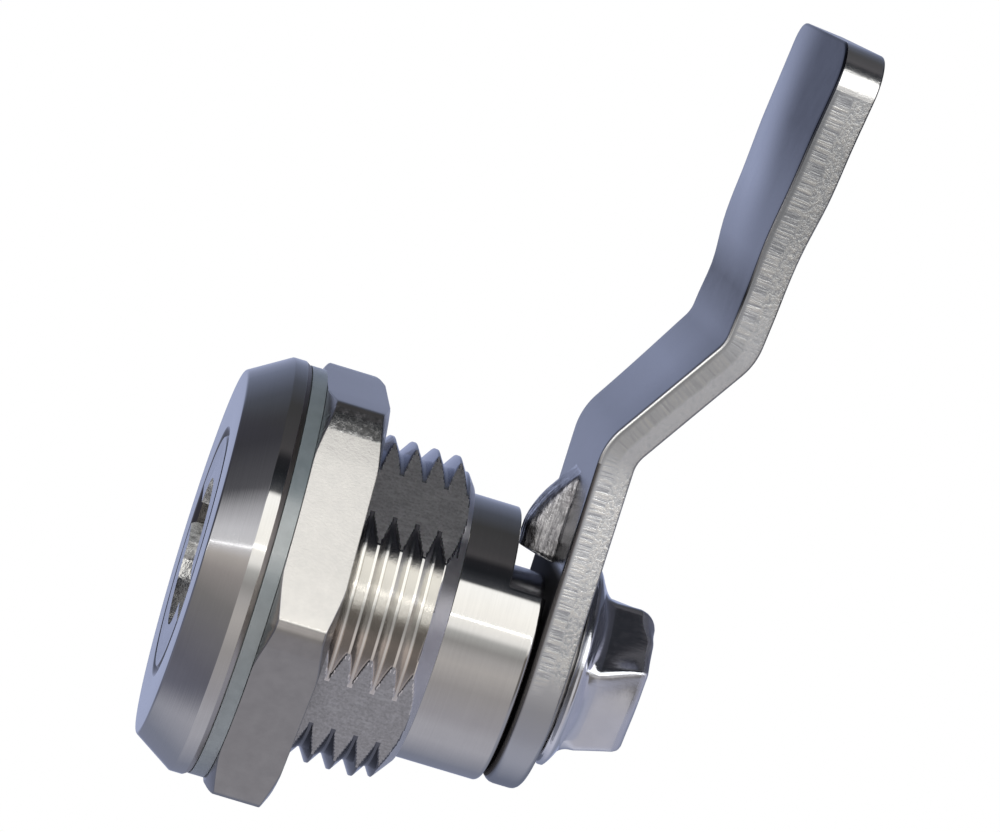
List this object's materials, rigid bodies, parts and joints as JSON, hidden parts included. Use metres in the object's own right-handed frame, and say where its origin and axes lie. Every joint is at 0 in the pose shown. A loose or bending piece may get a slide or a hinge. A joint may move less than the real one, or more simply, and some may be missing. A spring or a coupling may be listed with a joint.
{
  "type": "quarter-turn cam latch",
  "caption": "Quarter-turn cam latch with a bevelled round head, coin-slot insert, threaded flatted barrel, panel nut and a bent locking arm",
  "frame": {"origin": "on the barrel axis at the underside of the head, where the gasket seats", "axes": "+Y along the barrel away from the head, +Z along the locking arm at rest, +X to the right of a person facing the head"},
  "size_m": [0.0308, 0.0321, 0.0593],
  "materials": {
    "housing_steel": "turned stainless steel, fine tool marks",
    "gasket_rubber": "matte grey-green elastomer",
    "nut_steel": "satin stainless steel",
    "insert_steel": "satin face, rough cast recess",
    "ring_rubber": "black elastomer",
    "arm_steel": "satin faces, sheared edges",
    "washer_steel": "dull spring steel",
    "screw_steel": "cold-formed stainless steel"
  },
  "bodies": {
    "housing": {"housing": "housing_steel", "head_gasket": "gasket_rubber"},
    "rotor": {"key_insert": "insert_steel", "insert_o_ring": "ring_rubber", "cam_arm": "arm_steel", "lock_washer": "washer_steel", "cam_screw": "screw_steel"},
    "nut": {"panel_nut": "nut_steel"}
  },
  "joints": [
    {"name": "quarter_turn", "type": "hinge", "parent": "housing", "child": "rotor", "pos_m": [0, 0, 0], "axis": [0, 1, 0], "range_deg": [-50.5, 39.5]},
    {"name": "nut_travel", "type": "slide", "parent": "housing", "child": "nut", "axis": [0, 1, 0], "range_m": [0, 0.006]}
  ]
}
